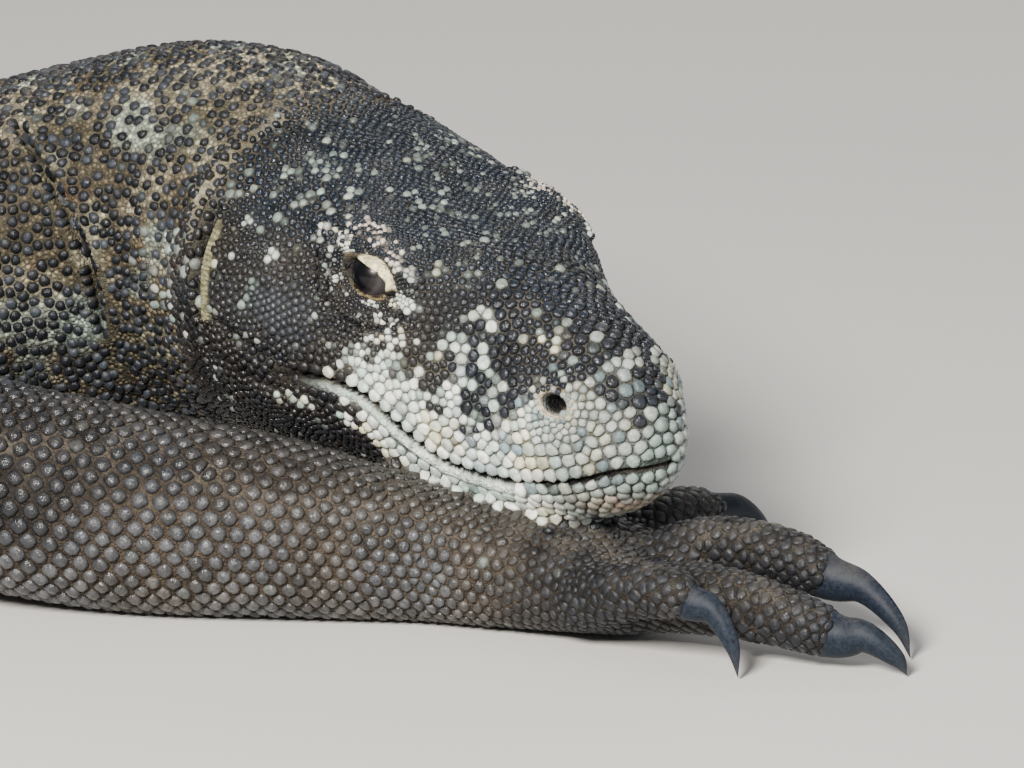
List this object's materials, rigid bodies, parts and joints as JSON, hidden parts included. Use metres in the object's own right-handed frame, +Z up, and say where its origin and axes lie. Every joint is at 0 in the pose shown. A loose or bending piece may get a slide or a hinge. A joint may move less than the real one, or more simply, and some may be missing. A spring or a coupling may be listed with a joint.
{
  "type": "komodo dragon",
  "caption": "Life-size komodo dragon, a still model lying on its belly with its head turned and its chin on its right wrist.",
  "frame": {"origin": "middle of the animal's plan, on the floor that it lies on", "axes": "+Z up, +X the way the body faces, from the tail to the hands, +Y towards the animal's left side"},
  "size_m": [2.2828, 0.9482, 0.1875],
  "materials": {
    "hide": "dry scales with a slight sheen",
    "eye": "wet, clear cornea over a dark brown iris",
    "claw": "horn, worn and dusty"
  },
  "bodies": {
    "root": {"head": "hide", "lower_jaw": "hide", "neck": "hide", "trunk_front": "hide", "trunk_rear": "hide", "tail_1": "hide", "tail_2": "hide", "tail_3": "hide", "tail_4": "hide", "upper_arm_right": "hide", "forearm_right": "hide", "hand_right": "hide", "thigh_right": "hide", "shank_right": "hide", "foot_right": "hide", "upper_arm_left": "hide", "forearm_left": "hide", "hand_left": "hide", "thigh_left": "hide", "shank_left": "hide", "foot_left": "hide", "eye_right": "eye", "eye_left": "eye", "claw_hand_right_1": "claw", "claw_hand_right_2": "claw", "claw_hand_right_3": "claw", "claw_hand_right_4": "claw", "claw_hand_right_5": "claw", "claw_hand_left_1": "claw", "claw_hand_left_2": "claw", "claw_hand_left_3": "claw", "claw_hand_left_4": "claw", "claw_hand_left_5": "claw", "claw_foot_right_1": "claw", "claw_foot_right_2": "claw", "claw_foot_right_3": "claw", "claw_foot_right_4": "claw", "claw_foot_right_5": "claw", "claw_foot_left_1": "claw", "claw_foot_left_2": "claw", "claw_foot_left_3": "claw", "claw_foot_left_4": "claw", "claw_foot_left_5": "claw"}
  },
  "joints": []
}
